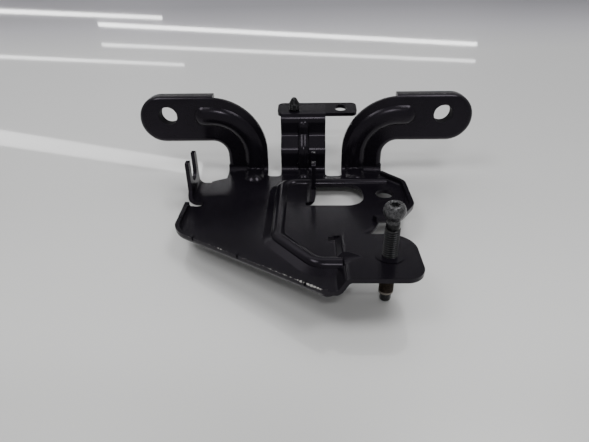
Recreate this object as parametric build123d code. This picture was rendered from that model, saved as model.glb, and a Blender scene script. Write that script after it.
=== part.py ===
"""Radar mounting bracket for a car.

One pressed and bent steel sheet carries a sensor on the plate, the clips and the ball screw, and is
bolted to the car through two ears. Modelled with the flat of the plate at z = 0, the front of the arms
at y = 0 and the middle of the bracket at x = 0, then moved so that the origin is halfway between the
two ear holes. +X is to the right seen from the front, +Y is to the back and +Z is up.
"""

import os
from math import acos, atan2, degrees, radians, sqrt, tan

from build123d import *

# Sheet
sheet = 2.0
bend_radius = 3.0
rim_outside_radius = 3.0
rim_inside_radius = rim_outside_radius - sheet

# Arms and ears, seen from the front
ear_hole_spacing = 148.0
ear_hole_diameter = 10.0
ear_hole_inset = 3.4
ear_centre_x = ear_hole_spacing / 2 + ear_hole_inset
ear_centre_height = 30.1
ear_radius = 12.75
ear_hole_height = ear_centre_height + 2.3
ear_rim_depth = 7.0
rim_start_x = ear_centre_x - 28.4
arm_inner_x = 20.8
arm_outer_x = 43.3
shoulder_radius = 30.0
shoulder_height = 12.0
armpit_radius = 8.0

# Stiffening beads of the arms and the centre tab
bead_half_width = 5.2
bead_height = 2.5
bead_turn_x = 50.8
bead_turn_height = 9.5
bead_turn_radius = 22.6
bead_start_x = ear_centre_x - 23.0
bead_reach = 8.8
tab_bead_x = -0.6
tab_bead_reach = 8.5
tab_bead_top = 23.8
tab_bead_half_width = 3.2
tab_bead_height = 1.9

# Centre tab and the strap on it, seen from the side
tab_centre_x = -0.8
tab_width = 25.0
tab_kick_height = 12.0
tab_set_back = 7.0
tab_bend_radius = 4.0
strap_front_y = 10.4
strap_front_height = 30.2
strap_tilt = 10.0
strap_depth = 12.4
strap_left_x = -15.2
strap_right_x = 29.4
strap_corner = 3.0
strap_hole_x = 20.4
strap_hole_diameter = 7.0

# Plate, seen from above
plate_rear_y = -7.5
plate_left_x = -59.2
lip_start_y = -41.3
lip_corner_y = -66.9
lip_corner_radius = 12.0
nose_x = 7.1
nose_y = -108.0
lip_height = 2.4
lip_nick_width = 0.9
lip_nick_places = (0.145, 0.36, 0.606, 0.927)
relief_radius = 2.9
relief_places = ((-53.6, -15.4), (-53.8, -38.9))

# Raised field of the plate and the ridge round it
field_height = 2.5
field_edge_radius = 1.8
field_corner_x = 30.2
field_corner_radius = 17.0
field_end_x = 40.9
field_end_y = -38.0
ridge_height = 4.0
ridge_half_width = 3.4
ridge_rear_y = -19.0
ridge_left_x = -11.3
ridge_turn_y = -71.2
ridge_front_x = 5.1
ridge_front_y = -90.6
ridge_end_x = 15.6
ridge_corner = 7.5
ramp_height = 1.5
ramp_reach = 6.9

# Window of the plate
window_left_x = 5.7
window_right_x = 29.6
window_rear_y = -22.2
window_front_y = -45.3
window_corner = 8.5

# Small ear at the right edge of the plate
small_ear_rim_height = 2.6
small_ear_left_x = 33.0
small_ear_right_x = 52.4
small_ear_rear_y = -11.6
small_ear_front_y = -60.0
small_ear_corner = 7.5
small_ear_hole_x = 40.4
small_ear_hole_y = -33.5
small_ear_hole_diameter = 8.8

# Clips, upright flaps with two fingers each
clip_width = 18.0
clip_left_foot_x = -50.0
clip_right_foot_x = -2.3
clip_base_x = clip_left_foot_x - 3.0
clip_left_x = -58.0
clip_left_y = -24.7
clip_left_top = 19.5
clip_left_front_y = -37.0
clip_left_rear_y = -15.2
clip_right_x = 4.7
clip_right_y = -28.4
clip_right_top = 20.5
clip_right_front_y = -42.6
clip_right_rear_y = -19.4
clip_finger_width = 4.2
clip_slot_bottom = 6.7

# Raised front tab, its joggle and the gap behind it
front_tab_height = 6.0
front_tab_right_x = 46.0
front_tab_rear_y = -76.0
front_tab_front_y = -106.2
front_tab_rear_corner = 11.0
front_tab_front_corner = 7.5
joggle_start_x = 12.0
joggle_foot_x = 13.6
joggle_top_x = 17.0
joggle_radius = 2.6
gap_width = 3.2
gap_corner = 2.5
dart_x = 24.0
dart_y = -92.5
dart_radius = 6.4
dart_length = 11.0

# Ball screw in its rivet nut
screw_x = 34.0
screw_y = -91.2
screw_diameter = 6.0
screw_clearance = 0.05
screw_tip_z = -16.6
point_diameter = 5.0
point_length = 4.2
thread_top_z = 18.8
neck_diameter = 5.0
ball_diameter = 8.6
ball_centre_z = 26.1
ball_flat_diameter = 6.2
socket_diameter = 4.0
socket_depth = 3.0
nut_flange_diameter = 11.6
nut_flange_height = 0.4
nut_body_diameter = 9.0
nut_body_length = 6.0

# Stud pressed into the strap
stud_x = -5.8
stud_diameter = 6.0
stud_neck_diameter = 5.2
stud_neck_length = 0.6
stud_length = 3.6
stud_cone_length = 3.0
stud_tip_diameter = 2.2
stud_foot_diameter = 7.0
stud_foot_length = 0.8
stud_offset = 4.4

# Sleeves behind the ear holes
sleeve_outside_diameter = 15.0

# Room for cutting tools to run past a face
past = 5.0

# Seen from behind with z up, so a sketch drawn to the right makes the left arm
behind = Plane(origin=(0, 0, 0), x_dir=(-1, 0, 0), z_dir=(0, 1, 0))
to_mount = Pos(0, 0, -ear_hole_height)
# From the front edge of the strap, with y up along its slope
strap_top = Pos(0, strap_front_y, strap_front_height) * Rot(strap_tilt, 0, 0)
tab_left_x = tab_centre_x - tab_width / 2
tab_right_x = tab_centre_x + tab_width / 2


def prism(face, bottom, top):
    """A face drawn from above, as a solid between two heights."""
    return Pos(0, 0, bottom) * extrude(face, amount=top - bottom, dir=(0, 0, 1))


def slab(face, plane, start, end):
    """A face drawn on a plane, as a solid between two distances from the plane."""
    return extrude(plane.offset(start) * face, amount=end - start, dir=plane.z_dir)


def edges_along(solid, curve):
    """The edges of the solid whose middles lie on the curve."""
    return [edge for edge in solid.edges() if curve.distance_to(edge @ 0.5) < 0.01]


def pressed_sheet(rim, plain, cavity_rim, cavity_plain, height):
    """Sheet with a rounded rim along one part of its outline. Its outside face is at z = 0."""
    outside = extrude(make_face(rim + plain), amount=height)
    outside = fillet(edges_along(outside, rim), rim_outside_radius)
    lift = Pos(0, 0, sheet)
    cavity = lift * extrude(make_face(cavity_rim + cavity_plain), amount=height)
    cavity = fillet(edges_along(cavity, lift * cavity_rim), rim_inside_radius)
    return outside - cavity


def strip(points, radius, plane, start, end):
    """Bent strip of sheet, drawn by its middle line and as wide as from start to end."""
    profile = trace(FilletPolyline(*points, radius=radius), line_width=sheet)
    return slab(profile, plane, start, end)


def tube(path, radius, round_start=False, round_end=False):
    """Round bar along a path, with half a ball on the ends that are rounded."""
    section = Plane(origin=path @ 0, z_dir=path % 0) * Circle(radius)
    bar = sweep(section, path=path)
    if round_start:
        bar += Pos(path @ 0) * Sphere(radius)
    if round_end:
        bar += Pos(path @ 1) * Sphere(radius)
    return bar


def bead_section(half_width, height):
    """Radius of the bar that makes a bead, and how deep its centre lies behind the face."""
    radius = (half_width**2 + height**2) / (2 * height)
    return radius, radius - height


def arm_curves(inset=0.0, growth=0.0):
    """Rimmed and plain parts of an arm's outline, inset along the rim and grown along the plain side."""
    top = ear_centre_height + ear_radius - inset
    bottom = ear_centre_height - ear_radius + inset
    side = arm_outer_x - inset
    armpit = armpit_radius + inset
    shoulder_x = arm_inner_x + shoulder_radius
    shoulder = shoulder_radius + growth
    shoulder_end = degrees(acos((rim_start_x - shoulder_x) / shoulder))
    ear = Pos(ear_centre_x, ear_centre_height) * CenterArc((0, 0), ear_radius - inset, 90, -180)
    corner = CenterArc((side + armpit, bottom - armpit), armpit, 90, 90)
    rim = Curve() + [
        Line((rim_start_x, top), ear @ 0),
        ear,
        Line(ear @ 1, corner @ 0),
        corner,
        Line(corner @ 1, (side, bend_radius)),
    ]
    arc = CenterArc((shoulder_x, shoulder_height), shoulder, 180, shoulder_end - 180)
    plain = Curve() + [
        Polyline((side, bend_radius), (arm_inner_x - growth, bend_radius), arc @ 0),
        arc,
        Line(arc @ 1, (rim_start_x, top)),
    ]
    return rim, plain


def front_of(points, radius):
    """Section of everything in front of the back of a bent sheet, given the line of its back."""
    back = FilletPolyline(*points, radius=radius)
    start, end = back @ 0, back @ 1
    around = Polyline(end, (start.X - past, end.Y), (start.X - past, start.Y), start)
    return make_face(Curve() + [back, around])


def make_arm():
    """Left arm with its ear and rim, and the outside and inside of its bead."""
    arm = behind * pressed_sheet(*arm_curves(), *arm_curves(sheet, past), ear_rim_depth)
    hole_place = Pos(-ear_hole_spacing / 2, 0, ear_hole_height) * Rot(90, 0, 0)
    arm -= hole_place * Cylinder(ear_hole_diameter / 2, 20)
    root_points = [
        (plate_rear_y - past, -sheet / 2),
        (sheet / 2, -sheet / 2),
        (sheet / 2, bend_radius + 0.5),
    ]
    root = strip(root_points, bend_radius + sheet / 2, Plane.YZ, -arm_outer_x, -arm_inner_x)
    radius, depth = bead_section(bead_half_width, bead_height)
    half = sqrt(0.5)
    lower_x = -bead_turn_x + bead_turn_radius
    upper_z = bead_turn_height + bead_turn_radius
    swing = bend_radius + depth
    start = (-bead_start_x, depth, upper_z)
    shoulder = (-bead_turn_x, depth, upper_z)
    over = (bead_turn_radius * half - bead_turn_x, depth, bead_turn_height + bead_turn_radius * half)
    elbow = (lower_x, depth, bead_turn_height)
    wrist = (lower_x, depth, bend_radius)
    round_root = (lower_x, swing * half - bend_radius, bend_radius - swing * half)
    palm = (lower_x, -bend_radius, -depth)
    nose = (lower_x, -bead_reach, -depth)
    path = Wire(
        [
            Line(start, shoulder),
            ThreePointArc(shoulder, over, elbow),
            Line(elbow, wrist),
            ThreePointArc(wrist, round_root, palm),
            Line(palm, nose),
        ]
    )
    back = [(-40.0, -sheet), (sheet, -sheet), (sheet, 60.0)]
    front = slab(front_of(back, bend_radius + sheet), Plane.YZ, -100, 0)
    bead = tube(path, radius, True, True) & front
    return arm + root + bead, tube(path, radius - sheet, True, True)


def parallel(points, distance, run_on=0.0):
    """Corners of an open line moved to its left, with both ends run on."""
    corners = [Vector(*point) for point in points]
    runs = [(end - start).normalized() for start, end in zip(corners, corners[1:])]
    lefts = [Vector(-run.Y, run.X) for run in runs]
    moved = [corners[0] + lefts[0] * distance - runs[0] * run_on]
    for corner, before, after in zip(corners[1:], lefts, lefts[1:]):
        middle = (before + after).normalized()
        moved.append(corner + middle * (distance / middle.dot(before)))
    moved.append(corners[-1] + lefts[-1] * distance + runs[-1] * run_on)
    return [(corner.X, corner.Y) for corner in moved]


def lip_curve(inset=0.0, run_on=0.0):
    """Outer edge of the lip from its rear end to the nose, moved inwards and run on past both ends."""
    points = [(plate_left_x, lip_start_y), (plate_left_x, lip_corner_y), (nose_x, nose_y)]
    return FilletPolyline(*parallel(points, inset, run_on), radius=lip_corner_radius - inset)


def ridge_line(reach=0.0):
    """Middle of the ridge, from the small ear round to the joggle, or a line that far outside it."""
    points = [
        (arm_outer_x, ridge_rear_y),
        (ridge_left_x, ridge_rear_y),
        (ridge_left_x, ridge_turn_y),
        (ridge_front_x, ridge_front_y),
        (ridge_end_x, ridge_front_y),
    ]
    return FilletPolyline(*parallel(points, -reach), radius=ridge_corner + reach)


def field_corner():
    """Rounded corner of the raised field, from the gap behind the front tab to the small ear."""
    gap_rear_y = front_tab_rear_y + gap_width
    return FilletPolyline(
        (ridge_end_x, gap_rear_y),
        (field_corner_x, gap_rear_y),
        (field_end_x, field_end_y),
        radius=field_corner_radius,
    )


def field_outline():
    """The raised field, bounded by the ridge and by the right edge of the plate."""
    corner = field_corner()
    front = Line((ridge_end_x, ridge_front_y), corner @ 0)
    right = Polyline(corner @ 1, (arm_outer_x, -30.0), (arm_outer_x, ridge_rear_y))
    return make_face(Curve() + [ridge_line(), front, corner, right])


def make_low_plate():
    """The plate outside the ridge, with its upturned lip, reliefs and nicks."""
    nose = lip_curve() @ 1
    plain = [
        nose,
        (joggle_start_x - 0.3, front_tab_front_y),
        (joggle_start_x + 1, front_tab_front_y),
        (joggle_start_x + 1, front_tab_rear_y),
        (arm_outer_x, ridge_rear_y),
        (arm_outer_x, plate_rear_y),
        (arm_outer_x, plate_rear_y + bend_radius),
        (-arm_outer_x, plate_rear_y + bend_radius),
        (-arm_outer_x, -9.6),
        (-48.0, -12.0),
        (-51.0, -14.0),
        (clip_base_x, -15.0),
        (clip_base_x, -38.0),
        (-52.0, lip_start_y),
        (plate_left_x, lip_start_y),
    ]
    cavity_rim = lip_curve(sheet, past)
    start, end = cavity_rim @ 0, cavity_rim @ 1
    around = Polyline(end, (60, end.Y), (60, start.Y + 60), (start.X, start.Y + 60), start)
    plate = pressed_sheet(lip_curve(), Polyline(*plain), cavity_rim, around, lip_height + sheet)
    plate = Pos(0, 0, -sheet) * plate
    for place in lip_nick_places:
        spot = lip_curve() @ place
        turn = degrees(atan2((lip_curve() % place).Y, (lip_curve() % place).X))
        nick = Box(lip_nick_width, 2 * sheet + 1, lip_height, align=(Align.CENTER, Align.CENTER, Align.MIN))
        plate -= Pos(spot.X, spot.Y, lip_height / 3) * Rot(0, 0, turn) * nick
    for x, y in relief_places:
        plate -= Pos(x, y, 0) * Cylinder(relief_radius, 3 * sheet)
    return plate


def small_ear_curves(inset=0.0, run_on=0.0):
    """Rimmed part of the small ear's outline and the part inside the plate."""
    points = [
        (small_ear_left_x, small_ear_front_y - 1.0),
        (small_ear_right_x - 7.6, small_ear_front_y),
        (small_ear_right_x, small_ear_front_y + 11.4),
        (small_ear_right_x, small_ear_rear_y - 12.0),
        (small_ear_right_x - 10.4, small_ear_rear_y),
    ]
    rim = FilletPolyline(*parallel(points, inset, run_on), radius=small_ear_corner - inset)
    start, end = rim @ 0, rim @ 1
    rear_inside = (end.X - 6.0 - 2 * run_on, end.Y - 9.0)
    front_inside = (start.X - 4.0 - 2 * run_on, start.Y + 5.0)
    return rim, Polyline(end, rear_inside, front_inside, start)


def make_small_ear():
    """Ear at the right edge of the plate, with an upturned rim."""
    cavity = small_ear_curves(sheet, past)
    ear = pressed_sheet(*small_ear_curves(), *cavity, small_ear_rim_height + sheet)
    return Pos(0, 0, field_height - sheet) * ear


def make_clip(x, level, centre_y, top, front_y, rear_y, foot_x):
    """Upright flap with two fingers, bent up from the plate at the given level."""
    middle = level - sheet / 2
    bent = strip(
        [(foot_x, middle), (x, middle), (x, top)],
        bend_radius + sheet / 2,
        Plane.XZ,
        -rear_y,
        -front_y,
    )
    half = clip_width / 2
    finger_bottom = level + clip_slot_bottom
    shape = Polygon(
        (front_y, level - past),
        (front_y, level + 0.5),
        (centre_y - half, level + 4.5),
        (centre_y - half + 0.3, top),
        (centre_y + half - 0.3, top),
        (centre_y + half, level + 4.5),
        (rear_y, level + 0.5),
        (rear_y, level - past),
        align=None,
    )
    shape = fillet(shape.vertices().group_by(Axis.Y)[-1], 1.2)
    slot = clip_width - 2 * clip_finger_width
    opening = Pos(centre_y, finger_bottom + top / 2) * RectangleRounded(slot, top, slot / 2 - 0.1)
    return bent & slab(shape - opening, Plane.YZ, x - 20, x + 20)


def joggle_line(level):
    """Middle line of the sheet where it climbs from a level to the front tab, seen from the front."""
    return [
        (joggle_start_x - 1, level - sheet / 2),
        (joggle_foot_x, level - sheet / 2),
        (joggle_top_x, front_tab_height - sheet / 2),
        (front_tab_right_x + past, front_tab_height - sheet / 2),
    ]


def make_front_tab():
    """Front tab with the joggle up to it from both levels and a dart pressed into its top bend."""
    rear = strip(joggle_line(field_height), joggle_radius, Plane.XZ, -front_tab_rear_y, -ridge_front_y)
    front = strip(joggle_line(0), joggle_radius, Plane.XZ, -ridge_front_y, -front_tab_front_y)
    width = front_tab_right_x - joggle_start_x + 1
    depth = front_tab_rear_y - front_tab_front_y
    middle = (front_tab_rear_y + front_tab_front_y) / 2
    plan = Pos(joggle_start_x - 1 + width / 2, middle) * Rectangle(width, depth)
    right_corners = plan.vertices().group_by(Axis.X)[-1].sort_by(Axis.Y)
    plan = fillet(right_corners[1], front_tab_rear_corner)
    right_corners = plan.vertices().group_by(Axis.Y)[0].sort_by(Axis.X)
    plan = fillet(right_corners[-1], front_tab_front_corner)
    tab = (rear + front) & prism(plan, -past, front_tab_height + past)
    tip = Pos(dart_x, dart_y, front_tab_height + 0.4) * Rot(0, -86, 0)
    place = tip * Pos(0, 0, dart_length / 2)
    hollow = place * Cone(0.01, dart_radius, dart_length)
    wall = place * Cone(sheet, dart_radius + sheet, dart_length)
    below = []
    for level, start, end in ((field_height, ridge_front_y, -80.0), (0.0, -104.0, ridge_front_y)):
        line = joggle_line(level)
        under = Polygon((line[1][0], -past), *line[1:], (line[-1][0], -past), align=None)
        below.append(slab(under, Plane.XZ, -end, -start))
    return tab - hollow + ((wall & (below[0] + below[1])) - hollow)


def make_centre_tab():
    """Centre tab with its set-back, its bead and the strap across its top."""

    def line(depth):
        slip = depth * tan(radians(22.5))
        kick_top = tab_kick_height + tab_set_back
        return [
            (plate_rear_y - past, -depth),
            (depth, -depth),
            (depth, tab_kick_height - slip),
            (tab_set_back + depth, kick_top - slip),
            (tab_set_back + depth, strap_front_height - depth),
        ]

    rise = tan(radians(strap_tilt))
    run = strap_front_y + strap_depth - 2.0
    top = (run, strap_front_height - sheet / 2 + (run - strap_front_y) * rise)
    left = tab_centre_x - tab_width / 2
    tab = strip(line(sheet / 2) + [top], tab_bend_radius, Plane.YZ, left, left + tab_width)
    radius, depth = bead_section(tab_bead_half_width, tab_bead_height)
    points = line(depth)
    points[0] = (-tab_bead_reach, -depth)
    points[-1] = (tab_set_back + depth, tab_bead_top)
    path = Plane.YZ.offset(tab_bead_x) * FilletPolyline(*points, radius=tab_bend_radius)
    front = slab(front_of(line(sheet), tab_bend_radius), Plane.YZ, -20, 20)
    bead = tube(path, radius, True, True) & front
    return tab + bead, tube(path, radius - sheet, True, True)


def make_strap():
    """Strap across the top of the centre tab, tilted up to the rear."""
    length = strap_right_x - strap_left_x
    plate = Pos(strap_left_x + length / 2, strap_depth / 2) * RectangleRounded(length, strap_depth, strap_corner)
    plate -= Pos(strap_hole_x, strap_depth / 2) * Circle(strap_hole_diameter / 2)
    return strap_top * extrude(plate, amount=-sheet)


def make_ridge():
    """Outside of the ridge, trimmed to the sheets on both sides of it, and its inside."""
    radius = (ridge_half_width**2 + ridge_height**2) / (2 * ridge_height)
    path = Pos(0, 0, ridge_height - radius) * ridge_line()
    foot_line = ridge_line(ramp_reach)
    ramp_foot = make_face(Curve() + [foot_line, Polyline(foot_line @ 1, foot_line @ 0)])
    slope = degrees(atan2(ramp_reach - ridge_half_width, ramp_height))
    ramp = extrude(ramp_foot, amount=ramp_height, dir=(0, 0, 1), taper=slope)
    outside = tube(path, radius) + ramp
    outside -= prism(Rectangle(-4 * plate_left_x, -4 * nose_y), -3 * past, -sheet)
    outside -= prism(field_outline(), -past, field_height - sheet)
    foot, top, end = joggle_line(0.0)[1:]
    under = Polygon((foot[0], -past), foot, top, end, (end[0], -past), align=None)
    outside -= slab(under, Plane.XZ, -ridge_front_y - 2 * past, -ridge_front_y + 2 * past)
    return outside, tube(path, radius - sheet) + Pos(0, 0, -sheet) * ramp


def make_stamping():
    """The whole pressed sheet."""
    field = field_outline()
    joggle_depth = front_tab_rear_y + gap_width - ridge_front_y
    joggle_zone = Pos(joggle_start_x + 5, ridge_front_y + joggle_depth / 2) * Rectangle(8, joggle_depth + 2)
    low = make_low_plate() - prism(field, -past, past)
    high = prism(field, field_height - sheet, field_height)
    high = fillet(edges_along(high, Pos(0, 0, field_height) * field_corner()), field_edge_radius)
    high -= prism(joggle_zone, -past, past)
    ridge, ridge_inside = make_ridge()

    clip_depth = window_rear_y - window_front_y
    clip_room = Rectangle(past + sheet, clip_depth)
    clip_room = Pos(clip_right_x - sheet / 4, (window_front_y + window_rear_y) / 2) * clip_room
    window = Polygon(
        (window_left_x, window_rear_y),
        (window_right_x, window_rear_y),
        (window_right_x, window_front_y),
        (window_left_x, window_front_y),
        align=None,
    )
    window = fillet(window.vertices().group_by(Axis.X)[-1], window_corner)
    ear_hole = Pos(small_ear_hole_x, small_ear_hole_y) * Circle(small_ear_hole_diameter / 2)

    plate = low + high + ridge + make_small_ear()
    gap_end = joggle_start_x - bend_radius / 2
    gap = Pos((gap_end + front_tab_right_x) / 2, front_tab_rear_y + gap_width / 2)
    gap *= Rectangle(front_tab_right_x - gap_end, gap_width)
    for opening in (window, clip_room, ear_hole, gap):
        plate -= prism(opening, -past, past)
    plate += make_front_tab()
    plate -= Pos(screw_x, screw_y) * Cylinder(nut_body_diameter / 2, 40)
    plate += make_clip(
        clip_left_x,
        0.0,
        clip_left_y,
        clip_left_top,
        clip_left_front_y,
        clip_left_rear_y,
        clip_left_foot_x,
    )
    plate += make_clip(
        clip_right_x,
        field_height,
        clip_right_y,
        clip_right_top,
        clip_right_front_y,
        clip_right_rear_y,
        clip_right_foot_x,
    )

    arm, arm_inside = make_arm()
    tab, tab_inside = make_centre_tab()
    plate += arm
    plate += mirror(arm, Plane.YZ)
    plate += tab
    plate += make_strap()
    for left, right in ((-arm_inner_x, tab_left_x), (tab_right_x, arm_inner_x)):
        gap = Pos((left + right) / 2, plate_rear_y + 10) * RectangleRounded(right - left, 20, gap_corner)
        plate -= prism(gap, -past, past)
    return plate - arm_inside - mirror(arm_inside, Plane.YZ) - tab_inside - ridge_inside


def make_sleeve(x):
    """Sleeve welded behind an ear hole."""
    ring = Circle(sleeve_outside_diameter / 2) - Circle(ear_hole_diameter / 2)
    sleeve = extrude(ring, amount=ear_rim_depth - sheet)
    return Pos(x, sheet, ear_hole_height) * Rot(-90, 0, 0) * sleeve


def make_nut():
    """Rivet nut, closed over the front tab."""
    bore = Circle(screw_diameter / 2 + screw_clearance)
    body = prism(Circle(nut_body_diameter / 2) - bore, front_tab_height - nut_body_length, front_tab_height)
    flange = prism(
        Circle(nut_flange_diameter / 2) - bore,
        front_tab_height,
        front_tab_height + nut_flange_height,
    )
    return Pos(screw_x, screw_y) * (body + flange)


def make_screw():
    """Ball screw with a dog point below, turned about its own axis."""
    radius = screw_diameter / 2
    neck_end = ball_centre_z - sqrt(ball_diameter**2 - neck_diameter**2) / 2
    flat_z = ball_centre_z + sqrt(ball_diameter**2 - ball_flat_diameter**2) / 2
    half = Polyline(
        (0, screw_tip_z),
        (point_diameter / 2 - 0.5, screw_tip_z),
        (point_diameter / 2, screw_tip_z + 0.5),
        (point_diameter / 2, screw_tip_z + point_length),
        (radius, screw_tip_z + point_length + 0.5),
        (radius, thread_top_z),
        (neck_diameter / 2, thread_top_z + 0.5),
        (neck_diameter / 2, neck_end),
    )
    ball = ThreePointArc(
        (neck_diameter / 2, neck_end), (ball_diameter / 2, ball_centre_z), (ball_flat_diameter / 2, flat_z)
    )
    close = Polyline((ball_flat_diameter / 2, flat_z), (0, flat_z), (0, screw_tip_z))
    screw = revolve(Plane.XZ * make_face(Curve() + [half, ball, close]), Axis.Z)
    socket = RegularPolygon(socket_diameter / 2, 6)
    screw -= prism(socket, flat_z - socket_depth, flat_z + past)
    return Pos(screw_x, screw_y) * screw


def make_stud():
    """Stud swaged into the strap, square to it, with a groove above the strap and a cone on top."""
    shank_end = stud_neck_length + stud_length
    half = [
        (0, -sheet - stud_foot_length),
        (stud_foot_diameter / 2, -sheet - stud_foot_length),
        (stud_foot_diameter / 2, -sheet),
        (stud_neck_diameter / 2, -sheet),
        (stud_neck_diameter / 2, stud_neck_length),
        (stud_diameter / 2, stud_neck_length),
        (stud_diameter / 2, shank_end),
        (stud_tip_diameter / 2, shank_end + stud_cone_length),
        (0, shank_end + stud_cone_length),
    ]
    stud = revolve(Plane.XZ * make_face(Polyline(*half, close=True)), Axis.Z)
    return strap_top * Pos(stud_x, stud_offset) * stud


os.makedirs("parts", exist_ok=True)
stud_hole = Cylinder(stud_neck_diameter / 2, 4 * sheet)
stamping = make_stamping() - strap_top * Pos(stud_x, stud_offset) * stud_hole
pieces = {
    "bracket_stamping": stamping,
    "ear_sleeve_left": make_sleeve(-ear_hole_spacing / 2),
    "ear_sleeve_right": make_sleeve(ear_hole_spacing / 2),
    "rivet_nut": make_nut(),
    "ball_screw": make_screw(),
    "strap_stud": make_stud(),
}
for name, piece in pieces.items():
    export_step(to_mount * piece, f"parts/{name}.step")
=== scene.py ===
"""Radar mounting bracket, dressed for the photograph's view.

The bracket stands on a glossy pale panel, propped on the tip of its ball screw and on the bend at
its rear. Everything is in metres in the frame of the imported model: the origin is halfway between
the ear holes, +X is to the right, +Y is to the back and +Z is up. Places written in millimetres are
measured from the flat of the plate, which lies below the ear holes, and go through at().
"""

import math

import bmesh
import bpy
from mathutils import Matrix, Vector


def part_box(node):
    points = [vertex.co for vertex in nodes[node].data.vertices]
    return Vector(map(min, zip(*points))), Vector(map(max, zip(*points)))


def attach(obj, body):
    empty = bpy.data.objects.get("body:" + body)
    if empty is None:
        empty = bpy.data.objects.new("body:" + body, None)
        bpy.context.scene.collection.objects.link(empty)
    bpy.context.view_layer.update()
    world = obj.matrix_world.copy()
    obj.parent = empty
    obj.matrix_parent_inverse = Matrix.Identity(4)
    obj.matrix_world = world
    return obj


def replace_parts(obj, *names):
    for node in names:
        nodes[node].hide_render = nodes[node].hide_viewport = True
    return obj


MM = 0.001
EAR_HOLE_HEIGHT = 32.4  # mm above the flat of the plate

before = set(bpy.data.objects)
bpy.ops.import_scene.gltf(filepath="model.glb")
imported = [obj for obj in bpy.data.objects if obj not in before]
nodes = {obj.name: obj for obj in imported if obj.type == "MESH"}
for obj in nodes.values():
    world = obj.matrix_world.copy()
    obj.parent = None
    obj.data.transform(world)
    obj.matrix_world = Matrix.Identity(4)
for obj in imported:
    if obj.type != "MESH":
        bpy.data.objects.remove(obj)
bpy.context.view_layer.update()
scene = bpy.context.scene


def at(x, y, z):
    """A point in millimetres, z from the flat of the plate, as a vector in metres."""
    return Vector((x, y, z - EAR_HOLE_HEIGHT)) * MM


# Screw, turned and threaded about its own axis, in mm

SCREW_LOW, SCREW_HIGH = (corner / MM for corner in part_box("ball_screw"))
SCREW_X = (SCREW_LOW.x + SCREW_HIGH.x) / 2
SCREW_Y = (SCREW_LOW.y + SCREW_HIGH.y) / 2
TIP = SCREW_LOW.z + EAR_HOLE_HEIGHT
FLAT = SCREW_HIGH.z + EAR_HOLE_HEIGHT
BALL_RADIUS = (SCREW_HIGH.x - SCREW_LOW.x) / 2 - 0.01
FLAT_RADIUS = 3.05
BALL_CENTRE = FLAT - math.sqrt(BALL_RADIUS**2 - FLAT_RADIUS**2)
SCREW_RADIUS = 3.0
PITCH = 1.0
ROOT_END, CREST_START, CREST_END = 0.12, 0.48, 0.64  # shares of the pitch
THREAD_DEPTH = 0.55
THREAD_TOP = TIP + 35.2
THREAD_BOTTOM = TIP + 4.4
LOCK_TOP = TIP + 10.6
WORN_LENGTH = 0.7
SHANK_RADIUS = 2.7
NECK_RADIUS = 2.35
POINT_RADIUS = 2.5
RECESS_RADIUS = 1.72
RECESS_DEPTH = 2.0
RECESS_LOBES = 6
LOBE_SHARE = 0.16

# Stud in the strap, turned about its own axis, in mm from the top of the strap

STRAP_TILT = math.radians(10.0)
STRAP_FRONT = (10.4, 30.2)  # y and z of the front edge of the strap's top
STUD_X = -5.8
STUD_OFFSET = 4.4  # up the strap from its front edge
STUD_RADIUS = 3.0
STUD_CORE_RADIUS = 2.6
STUD_FOOT_RADIUS = 3.5
STUD_THREAD_START = 0.6
STUD_PITCH = 0.9
STUD_RINGS = 4
STUD_TOP = 4.2
STUD_CONE = 3.0
STUD_TIP_RADIUS = 1.1

TURN_STEPS = 56
BALL_STEPS = 72
STUD_STEPS = 40
MERGE_DISTANCE = 0.0005  # mm

# Chips as (place, reach), along the lip's edge from its left corner to the nose and by the stud

LIP_CORNER = at(-59.2, -66.9, 2.4)
NOSE = at(7.1, -108.0, 2.4)
LIP_CHIPS = tuple(
    (LIP_CORNER.lerp(NOSE, share), size * MM)
    for share, size in (
        (0.862, 0.35),
        (0.880, 0.55),
        (0.903, 0.60),
        (0.921, 0.62),
        (0.940, 0.66),
        (0.958, 0.58),
        (0.975, 0.50),
        (0.988, 0.34),
        (0.352, 0.30),
        (0.370, 0.35),
        (0.700, 0.28),
        (0.735, 0.24),
        (0.785, 0.30),
        (0.820, 0.26),
    )  # share of the way along the edge, and reach in mm
)
STUD_CHIP = ((at(-5.9, 10.4, 28.9), 0.9 * MM),)
EDGE_WEAR_REACH = 0.4  # mm


# Shaders


def new_material(name):
    material = bpy.data.materials.new(name)
    material.use_nodes = True
    tree = material.node_tree
    shader = tree.nodes["Principled BSDF"]
    place = tree.nodes.new("ShaderNodeTexCoord").outputs["Object"]
    return material, tree, shader, place


def noise(tree, place, scale, detail=4.0, roughness=0.5, distortion=0.0):
    node = tree.nodes.new("ShaderNodeTexNoise")
    node.inputs["Scale"].default_value = scale
    node.inputs["Detail"].default_value = detail
    node.inputs["Roughness"].default_value = roughness
    node.inputs["Distortion"].default_value = distortion
    tree.links.new(place, node.inputs["Vector"])
    return node.outputs["Fac"]


def ramp(tree, value, *stops):
    """Colour ramp with stops of (position, grey) or (position, colour)."""
    node = tree.nodes.new("ShaderNodeValToRGB")
    tree.links.new(value, node.inputs["Fac"])
    elements = node.color_ramp.elements
    while len(elements) < len(stops):
        elements.new(0.5)
    for element, (position, level) in zip(elements, stops):
        element.position = position
        color = level if isinstance(level, tuple) else (level, level, level)
        element.color = (*color, 1.0)
    return node.outputs["Color"]


def math_node(tree, operation, first, second=0.0):
    node = tree.nodes.new("ShaderNodeMath")
    node.operation = operation
    for socket, value in zip(node.inputs, (first, second)):
        if isinstance(value, (int, float)):
            socket.default_value = value
        else:
            tree.links.new(value, socket)
    return node.outputs[0]


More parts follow.
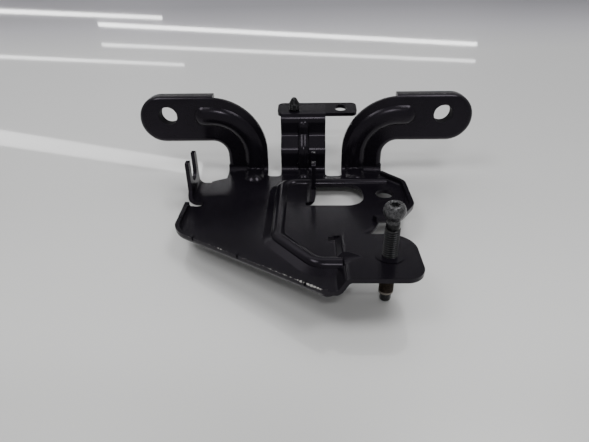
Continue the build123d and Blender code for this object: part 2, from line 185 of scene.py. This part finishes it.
def mix_color(tree, factor, first, second):
    node = tree.nodes.new("ShaderNodeMix")
    node.data_type = "RGBA"
    tree.links.new(factor, node.inputs["Factor"])
    for socket, value in ((node.inputs["A"], first), (node.inputs["B"], second)):
        if isinstance(value, tuple):
            socket.default_value = (*value, 1.0)
        else:
            tree.links.new(value, socket)
    return node.outputs["Result"]


def bump(tree, shader, height, distance):
    node = tree.nodes.new("ShaderNodeBump")
    node.inputs["Strength"].default_value = 1.0
    node.inputs["Distance"].default_value = distance
    tree.links.new(height, node.inputs["Height"])
    tree.links.new(node.outputs["Normal"], shader.inputs["Normal"])


def split(tree, place):
    """The X, Y and Z outputs of a place."""
    node = tree.nodes.new("ShaderNodeSeparateXYZ")
    tree.links.new(place, node.inputs[0])
    return node.outputs


def dot(tree, place, axis):
    node = tree.nodes.new("ShaderNodeVectorMath")
    node.operation = "DOT_PRODUCT"
    node.inputs[1].default_value = axis
    tree.links.new(place, node.inputs[0])
    return node.outputs["Value"]


def near(tree, place, centre, reach, ragged=0.5):
    """1 within about the reach of a point on the object, with a ragged edge, and 0 beyond it."""
    node = tree.nodes.new("ShaderNodeVectorMath")
    node.operation = "DISTANCE"
    node.inputs[1].default_value = centre
    tree.links.new(place, node.inputs[0])
    grain = noise(tree, place, 1.2 / reach, detail=5.0, roughness=0.65)
    centred = math_node(tree, "SUBTRACT", grain, 0.5)
    edge = math_node(tree, "MULTIPLY", centred, 2.0 * ragged * reach)
    far = math_node(tree, "ADD", node.outputs["Value"], edge)
    return math_node(tree, "LESS_THAN", far, reach)


def worn_edge(tree, place, start, end, reach):
    """Fine bare specks along a straight edge, thickest at its end."""
    grain_scale, thickening, threshold = 2400.0, 0.1, 0.68
    line = end - start
    along = line.normalized()
    upward = Vector((0, 0, 1))
    masks = []
    for axis in (along.cross(upward), upward):
        offset = math_node(tree, "SUBTRACT", dot(tree, place, axis), start.dot(axis))
        distance = math_node(tree, "ABSOLUTE", offset)
        masks.append(math_node(tree, "LESS_THAN", distance, reach))
    passed = dot(tree, place, along / line.length)
    share = math_node(tree, "SUBTRACT", passed, start.dot(along) / line.length)
    grain = noise(tree, place, grain_scale, detail=3.0, roughness=0.6)
    grain = math_node(tree, "ADD", grain, math_node(tree, "MULTIPLY", share, thickening))
    specks = math_node(tree, "GREATER_THAN", grain, threshold)
    for mask in masks:
        specks = math_node(tree, "MULTIPLY", specks, mask)
    return specks


def either(tree, masks):
    total = masks[0]
    for mask in masks[1:]:
        total = math_node(tree, "MAXIMUM", total, mask)
    return total


def above(tree, place, height):
    """1 over a height above the flat of the plate, in mm, and 0 below it."""
    return math_node(tree, "GREATER_THAN", split(tree, place)["Z"], at(0, 0, height).z)


# Finishes

BARE_STEEL = (0.55, 0.54, 0.52)
BARE_ROUGHNESS = 0.42
HOLE_WALL_X = 74.0  # mm, at the ear holes
HOLE_WALL_REACH = 5.12  # mm
HOLE_WALL_ROUGHNESS = 0.85


def black_coat(name, chips=(), dull=0.0):
    """Black electrophoretic coat over pressed steel, with orange peel, press waves and chips."""
    material, tree, shader, place = new_material(name)
    mottle = noise(tree, place, 70.0, detail=5.0, roughness=0.6)
    color = ramp(tree, mottle, (0.3, (0.0046, 0.0038, 0.0058)), (0.7, (0.0078, 0.0066, 0.0096)))
    smears = noise(tree, place, 38.0, detail=6.0, roughness=0.6, distortion=0.4)
    rough = ramp(tree, smears, (0.3, 0.18 + dull), (0.7, 0.26 + dull))
    for side in (-1, 1):
        hole = at(HOLE_WALL_X * side, 1.0, EAR_HOLE_HEIGHT)
        wall = near(tree, place, hole, HOLE_WALL_REACH * MM, ragged=0.0)
        rough = mix_color(tree, wall, rough, (HOLE_WALL_ROUGHNESS,) * 3)
    if chips:
        masks = [near(tree, place, centre, reach, ragged=0.8) for centre, reach in chips]
        masks.append(worn_edge(tree, place, LIP_CORNER, NOSE, EDGE_WEAR_REACH * MM))
        chipped = either(tree, masks)
        color = mix_color(tree, chipped, color, BARE_STEEL)
        rough = mix_color(tree, chipped, rough, (BARE_ROUGHNESS,) * 3)
        tree.links.new(chipped, shader.inputs["Metallic"])
    tree.links.new(color, shader.inputs["Base Color"])
    tree.links.new(rough, shader.inputs["Roughness"])
    shader.inputs["Specular IOR Level"].default_value = 0.24 - 0.5 * dull
    shader.inputs["Specular Tint"].default_value = (0.94, 0.86, 1.0, 1.0)
    peel = math_node(tree, "MULTIPLY", noise(tree, place, 900.0, detail=3.0), 0.06)
    waves = noise(tree, place, 55.0, detail=1.0, roughness=0.4)
    bump(tree, shader, math_node(tree, "ADD", peel, waves), 0.11 * MM)
    return material


def black_zinc(name, bright_from):
    """Black zinc plating, dark below a height in mm and greyer above it: on the screw the grey ball
    is a painted highlight and the dark shank under it is painted shade.
    """
    material, tree, shader, place = new_material(name)
    mottle = noise(tree, place, 900.0, detail=6.0, roughness=0.7)
    # Grey above the height paints highlight on the ball, dark below it paints shade under the ball;
    # the stud and point are plain dark all over.
    highlight_grey = ramp(tree, mottle, (0.35, (0.035, 0.035, 0.038)), (0.75, (0.14, 0.14, 0.145)))
    dark_and_shade = ramp(tree, mottle, (0.4, (0.006, 0.006, 0.007)), (0.8, (0.03, 0.03, 0.032)))
    color = mix_color(tree, above(tree, place, bright_from), dark_and_shade, highlight_grey)
    tree.links.new(color, shader.inputs["Base Color"])
    tree.links.new(ramp(tree, mottle, (0.3, 0.2), (0.7, 0.34)), shader.inputs["Roughness"])
    shader.inputs["Metallic"].default_value = 0.6
    bump(tree, shader, noise(tree, place, 1500.0), 0.02 * MM)
    return material


def screw_thread():
    """The thread: roots painted dark as shade in its grooves, grey crests, dried brown thread lock
    low down, a worn last turn.
    """
    material, tree, shader, place = new_material("thread_zinc")
    parts = split(tree, place)
    out_x = math_node(tree, "SUBTRACT", parts["X"], SCREW_X * MM)
    out_y = math_node(tree, "SUBTRACT", parts["Y"], SCREW_Y * MM)
    squares = [math_node(tree, "POWER", out, 2.0) for out in (out_x, out_y)]
    radius = math_node(tree, "SQRT", math_node(tree, "ADD", *squares))
    depth = math_node(tree, "SUBTRACT", SCREW_RADIUS * MM, radius)
    share = math_node(tree, "DIVIDE", depth, THREAD_DEPTH * MM)
    crest = ramp(tree, share, (0.1, 1.0), (0.6, 0.0))
    zinc_above = above(tree, place, LOCK_TOP)
    worn = math_node(tree, "SUBTRACT", 1.0, above(tree, place, THREAD_BOTTOM + WORN_LENGTH))
    mottle = noise(tree, place, 500.0, detail=5.0, roughness=0.7)
    lock = ramp(tree, mottle, (0.35, (0.014, 0.011, 0.009)), (0.65, (0.07, 0.052, 0.038)))
    # Near-black roots against grey crests: painted shade in the thread's grooves.
    zinc = mix_color(tree, crest, (0.002, 0.002, 0.002), (0.04, 0.04, 0.043))
    color = mix_color(tree, zinc_above, lock, zinc)
    color = mix_color(tree, worn, color, (0.3, 0.27, 0.24))
    tree.links.new(color, shader.inputs["Base Color"])
    tree.links.new(ramp(tree, zinc_above, (0.0, 0.5), (1.0, 0.34)), shader.inputs["Roughness"])
    tree.links.new(ramp(tree, crest, (0.0, 0.0), (1.0, 0.6)), shader.inputs["Metallic"])
    shader.inputs["Specular IOR Level"].default_value = 0.25
    bump(tree, shader, noise(tree, place, 1200.0), 0.03 * MM)
    return material


def pale_panel():
    """Pale car panel that the bracket stands on: lacquer over paint, with a faint mirror image, and
    painted shading that darkens it towards the front and to a purple-grey band towards the back.
    """
    material, tree, shader, place = new_material("pale_panel")
    # Painted shading: the ramp runs from 250 mm in front of the origin to 375 mm behind it, darker
    # at the front and darker purple-grey at the back
    back = math_node(tree, "MULTIPLY", split(tree, place)["Y"], 1.6)
    painted_shading = ramp(
        tree,
        math_node(tree, "ADD", back, 0.4),
        (0.10, (0.68, 0.68, 0.67)),
        (0.23, (0.83, 0.83, 0.82)),
        (0.70, (0.86, 0.86, 0.865)),
        (0.80, (0.72, 0.71, 0.76)),
        (0.92, (0.46, 0.45, 0.50)),
    )
    tree.links.new(painted_shading, shader.inputs["Base Color"])
    shader.inputs["Metallic"].default_value = 0.2
    shader.inputs["Roughness"].default_value = 0.4
    shader.inputs["Specular IOR Level"].default_value = 0.3
    shader.inputs["Coat Weight"].default_value = 1.0
    shader.inputs["Coat Roughness"].default_value = 0.035
    return material


# Pieces


def piece(name, shape, material, body, smooth=35.0):
    """Finish a bmesh drawn in mm as an object that rides on a body.

    It is shaded smooth, apart from edges that bend by more than the angle in degrees.
    """
    bmesh.ops.remove_doubles(shape, verts=shape.verts, dist=MERGE_DISTANCE)
    bmesh.ops.recalc_face_normals(shape, faces=shape.faces)
    bmesh.ops.scale(shape, vec=(MM, MM, MM), verts=shape.verts)
    for face in shape.faces:
        face.smooth = True
    for edge in shape.edges:
        edge.smooth = edge.calc_face_angle(0.0) < math.radians(smooth)
    mesh = bpy.data.meshes.new(name)
    shape.to_mesh(mesh)
    shape.free()
    made = bpy.data.objects.new(name, mesh)
    scene.collection.objects.link(made)
    mesh.materials.append(material)
    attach(made, body)
    return made


def lathe(shape, profile, steps=TURN_STEPS, rise=0.0):
    """Spin a profile of (radius, height) round the z axis. A rise makes it a helix."""
    verts = [shape.verts.new((radius, 0.0, height)) for radius, height in profile]
    edges = [shape.edges.new(pair) for pair in zip(verts, verts[1:])]
    bmesh.ops.spin(
        shape,
        geom=verts + edges,
        cent=(0, 0, 0),
        axis=(0, 0, 1),
        dvec=(0, 0, rise / steps),
        angle=2 * math.pi,
        steps=steps,
        use_merge=rise == 0.0,
    )
    bmesh.ops.remove_doubles(shape, verts=shape.verts, dist=MERGE_DISTANCE)


def arc(radius, centre, start, end, steps):
    """Points of a circle round (0, centre) in a turned profile, by degrees from the horizontal."""
    angles = [math.radians(start + (end - start) * step / steps) for step in range(steps + 1)]
    return [(radius * math.cos(angle), centre + radius * math.sin(angle)) for angle in angles]


def to_screw(shape):
    bmesh.ops.translate(shape, vec=(SCREW_X, SCREW_Y, -EAR_HOLE_HEIGHT), verts=shape.verts)


def cap(shape):
    """Close the open ends."""
    rim = [edge for edge in shape.edges if edge.is_boundary]
    bmesh.ops.holes_fill(shape, edges=rim, sides=0)


def make_thread():
    """Helical thread, cut square at both ends through the turns that it has to spare there."""
    shape = bmesh.new()
    turns = round((THREAD_TOP - THREAD_BOTTOM) / PITCH) + 3
    root = SCREW_RADIUS - THREAD_DEPTH
    profile = []
    for turn in range(turns):
        low = THREAD_BOTTOM - 2 * PITCH + turn * PITCH
        profile += [
            (root, low),
            (root, low + ROOT_END * PITCH),
            (SCREW_RADIUS, low + CREST_START * PITCH),
            (SCREW_RADIUS, low + CREST_END * PITCH),
        ]
    lathe(shape, profile, rise=PITCH)
    for height, outward in ((THREAD_BOTTOM, -1), (THREAD_TOP, 1)):
        everything = shape.verts[:] + shape.edges[:] + shape.faces[:]
        bmesh.ops.bisect_plane(
            shape,
            geom=everything,
            dist=0.0001,
            plane_co=(0, 0, height),
            plane_no=(0, 0, outward),
            clear_outer=True,
        )
    cap(shape)
    to_screw(shape)
    return piece("screw_thread", shape, screw_thread(), "screw", smooth=25.0)


def make_ball():
    """Ball, the neck and plain shank under it, and the six-lobed recess in its flat."""
    shape = bmesh.new()
    lip_angle = math.degrees(math.acos(FLAT_RADIUS / BALL_RADIUS))
    neck_angle = math.degrees(math.acos(NECK_RADIUS / BALL_RADIUS))
    neck_top = BALL_CENTRE - math.sqrt(BALL_RADIUS**2 - NECK_RADIUS**2)
    profile = [
        (SHANK_RADIUS - 0.3, THREAD_TOP - 0.4),
        (SHANK_RADIUS, THREAD_TOP + 0.1),
        (SHANK_RADIUS, neck_top - 1.1),
        (SHANK_RADIUS - 0.1, neck_top - 0.9),
        (NECK_RADIUS, neck_top - 0.5),
        (NECK_RADIUS, neck_top),
    ]
    profile += arc(BALL_RADIUS, BALL_CENTRE, -neck_angle, lip_angle - 4, steps=22)[1:]
    profile += [
        (FLAT_RADIUS, FLAT - 0.04),
        (FLAT_RADIUS - 0.14, FLAT),
        (RECESS_RADIUS + 0.45, FLAT - 0.12),
    ]
    lathe(shape, profile, steps=BALL_STEPS)
    rim = [
        edge
        for edge in shape.edges
        if edge.is_boundary and edge.verts[0].co.z > BALL_CENTRE
    ]
    for height in (FLAT - 0.3, FLAT - RECESS_DEPTH):
        step = bmesh.ops.extrude_edge_only(shape, edges=rim)["geom"]
        rim = [edge for edge in step if isinstance(edge, bmesh.types.BMEdge)]
        for vert in {vert for edge in rim for vert in edge.verts}:
            turned = math.atan2(vert.co.y, vert.co.x)
            lobes = 1 + LOBE_SHARE * math.cos(RECESS_LOBES * turned)
            outward = Vector((vert.co.x, vert.co.y, 0)).normalized()
            vert.co = outward * RECESS_RADIUS * lobes
            vert.co.z = height
    cap(shape)
    to_screw(shape)
    return piece("screw_ball", shape, ball_zinc, "screw")


def make_point():
    """Dog point under the thread."""
    shape = bmesh.new()
    profile = [
        (SCREW_RADIUS - THREAD_DEPTH, THREAD_BOTTOM + 1.0),
        (SCREW_RADIUS - THREAD_DEPTH, THREAD_BOTTOM - 0.05),
        (POINT_RADIUS - 0.15, THREAD_BOTTOM - 0.4),
        (POINT_RADIUS - 0.15, TIP + 1.4),
        (POINT_RADIUS - 0.35, TIP + 0.6),
        (POINT_RADIUS - 0.9, TIP + 0.12),
        (POINT_RADIUS - 1.5, TIP),
    ]
    lathe(shape, profile)
    cap(shape)
    to_screw(shape)
    return piece("screw_point", shape, dark_zinc, "screw")


def make_stud():
    """Stud with rings rolled under its cone, and its foot below the strap."""
    shape = bmesh.new()
    profile = [
        (STUD_CORE_RADIUS, -2.0),
        (STUD_CORE_RADIUS, STUD_THREAD_START - 0.1),
        (STUD_RADIUS - 0.15, STUD_THREAD_START),
    ]
    for ring in range(STUD_RINGS):
        low = STUD_THREAD_START + ring * STUD_PITCH
        profile += [
            (STUD_RADIUS - 0.4, low + 0.1),
            (STUD_RADIUS - 0.02, low + 0.4),
            (STUD_RADIUS - 0.02, low + 0.65),
        ]
    stud_end = STUD_TOP + STUD_CONE
    profile += [
        (STUD_RADIUS - 0.35, STUD_TOP),
        (STUD_TIP_RADIUS + 0.5, stud_end - 0.7),
        (STUD_TIP_RADIUS, stud_end - 0.15),
        (STUD_TIP_RADIUS - 0.3, stud_end),
    ]
    lathe(shape, profile, steps=STUD_STEPS)
    foot = [(STUD_FOOT_RADIUS, -2.8), (STUD_FOOT_RADIUS, -2.2), (STUD_FOOT_RADIUS - 0.2, -2.0)]
    lathe(shape, foot, steps=STUD_STEPS)
    cap(shape)
    front_y, front_z = STRAP_FRONT
    strap = Matrix.Translation((0, front_y, front_z - EAR_HOLE_HEIGHT))
    strap = strap @ Matrix.Rotation(STRAP_TILT, 4, "X")
    place = strap @ Matrix.Translation((STUD_X, STUD_OFFSET, 0))
    bmesh.ops.transform(shape, matrix=place, verts=shape.verts)
    return piece("stud", shape, dark_zinc, "bracket")


dark_zinc = black_zinc("dark_zinc", bright_from=40.0)
# The ball and the top of its neck are painted grey as highlight, and the shank below is painted
# dark as shade under the ball.
ball_zinc = black_zinc("ball_zinc", bright_from=BALL_CENTRE - BALL_RADIUS - 0.6)
coat = black_coat("black_coat")
sleeve_coat = black_coat("sleeve_coat", dull=0.35)
chipped_coat = black_coat("chipped_coat", chips=LIP_CHIPS + STUD_CHIP)
for name, node in nodes.items():
    node.data.materials.clear()
    finish = sleeve_coat if name.startswith("ear_sleeve") else coat
    node.data.materials.append(chipped_coat if name == "bracket_stamping" else finish)

for screw_piece in (make_thread(), make_ball(), make_point()):
    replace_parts(screw_piece, "ball_screw")
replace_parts(make_stud(), "strap_stud")

# Floor: touches the tip of the ball screw and the bend at the rear

FLOOR_HALF_SIDE = 6.0
REAR_POINT = at(0.0, -3.0, -2.0)
TIP_POINT = at(SCREW_X, SCREW_Y, TIP)

tilt = math.atan2(REAR_POINT.z - TIP_POINT.z, REAR_POINT.y - TIP_POINT.y)
shape = bmesh.new()
bmesh.ops.create_grid(shape, x_segments=1, y_segments=1, size=FLOOR_HALF_SIDE)
lie = Matrix.Translation(REAR_POINT) @ Matrix.Rotation(tilt, 4, "X")
bmesh.ops.transform(shape, matrix=lie, verts=shape.verts)
floor_mesh = bpy.data.meshes.new("panel")
shape.to_mesh(floor_mesh)
shape.free()
floor = bpy.data.objects.new("panel", floor_mesh)
scene.collection.objects.link(floor)
floor.data.materials.append(pale_panel())

# Camera: solved from the photograph

PICTURE_WIDTH = 589.0  # pixels
FOCAL_LENGTH = 450.0  # pixels
SENSOR_WIDTH = 36.0  # mm
CAMERA_PLACE = at(2.11, -235.80, 110.29)
CAMERA_PITCH, CAMERA_YAW, CAMERA_ROLL = 0.5492, -0.03627, 0.02016  # radians

forward = Vector(
    (
        math.sin(CAMERA_YAW) * math.cos(CAMERA_PITCH),
        math.cos(CAMERA_YAW) * math.cos(CAMERA_PITCH),
        -math.sin(CAMERA_PITCH),
    )
)
level_right = Vector((math.cos(CAMERA_YAW), -math.sin(CAMERA_YAW), 0.0))
level_down = forward.cross(level_right)
right = level_right * math.cos(CAMERA_ROLL) + level_down * math.sin(CAMERA_ROLL)
down = level_down * math.cos(CAMERA_ROLL) - level_right * math.sin(CAMERA_ROLL)
camera_data = bpy.data.cameras.new("camera")
camera_data.sensor_width = SENSOR_WIDTH
camera_data.lens = SENSOR_WIDTH * FOCAL_LENGTH / PICTURE_WIDTH
camera_data.clip_start = 0.01
camera_data.clip_end = 50.0
camera = bpy.data.objects.new("camera", camera_data)
scene.collection.objects.link(camera)
turn = Matrix((right, -down, -forward)).transposed().to_4x4()
camera.matrix_world = Matrix.Translation(CAMERA_PLACE) @ turn
scene.camera = camera

# Room light: a pale wall behind, a dark ceiling with a lit strip and a dim room in front

ROOM = (
    (0.0, 0.50),
    (18.0, 0.45),
    (22.0, 0.08),
    (26.0, 0.10),
    (28.5, 0.30),
    (31.0, 0.26),
    (36.0, 0.22),
    (48.0, 0.36),
    (56.0, 1.10),
    (67.0, 1.60),
    (72.0, 0.70),
    (79.0, 0.20),
    (103.0, 0.15),
    (112.0, 0.3),
    (124.0, 0.3),
    (134.0, 0.25),
    (160.0, 0.42),
    (180.0, 0.5),
)  # degrees up from the back over the top to the front, and brightness
SIDE_LIGHT = (0.4, 0.4, 0.4)  # what it turns to straight left and right

world = bpy.data.worlds.new("room")
world.use_nodes = True
room = world.node_tree
direction = split(room, room.nodes.new("ShaderNodeTexCoord").outputs["Generated"])
height = math_node(room, "ABSOLUTE", direction["Z"])  # the same below the horizon as above it
around = math_node(room, "ARCTAN2", height, direction["Y"])
share = math_node(room, "DIVIDE", around, math.pi)
wall = ramp(room, share, *[(angle / 180.0, level) for angle, level in ROOM])
side_on = math_node(room, "POWER", math_node(room, "ABSOLUTE", direction["X"]), 4.0)
light_color = mix_color(room, side_on, wall, SIDE_LIGHT)
room.links.new(light_color, room.nodes["Background"].inputs["Color"])
scene.world = world

# Lamps

LAMP_TARGET = at(0.0, -45.0, 5.0)


def softbox(name, distance, elevation, azimuth, width, height, radiance, roll=0.0):
    """Flat lamp that faces the bracket, with lengths in metres and angles in degrees.

    The azimuth turns from the back, at 0, towards the right.
    """
    light = bpy.data.lights.new(name, "AREA")
    light.shape = "RECTANGLE"
    light.size = width
    light.size_y = height
    light.energy = radiance * math.pi * width * height
    up, round_to = math.radians(elevation), math.radians(azimuth)
    flat = math.cos(up)
    side = Vector((math.sin(round_to) * flat, math.cos(round_to) * flat, math.sin(up)))
    lamp = bpy.data.objects.new(name, light)
    facing = (-side).to_track_quat("-Z", "Y").to_matrix().to_4x4()
    facing = facing @ Matrix.Rotation(math.radians(roll), 4, "Z")
    lamp.matrix_world = Matrix.Translation(LAMP_TARGET + side * distance) @ facing
    scene.collection.objects.link(lamp)


softbox("front_lamp", 1.6, 47.0, 180.0, 0.3, 0.1, 40.0)
softbox("tube_high", 3.0, 25.8, -2.5, 2.5, 0.022, 12.0, roll=-4.7)
softbox("tube_low", 3.0, 28.0, -2.5, 2.5, 0.018, 7.0, roll=-4.3)
softbox("tube_left_high", 3.0, 20.0, -30.0, 1.1, 0.02, 10.0, roll=-15.6)
softbox("tube_left_low", 3.0, 25.1, -30.0, 1.2, 0.016, 7.0, roll=-18.0)
softbox("left_window", 3.0, 35.0, -34.5, 1.45, 0.09, 5.0, roll=-32.0)
softbox("left_lamp", 0.9, 60.0, -112.0, 0.3, 0.3, 7.0)
softbox("right_lamp", 0.9, 66.0, 108.0, 0.3, 0.3, 9.5)
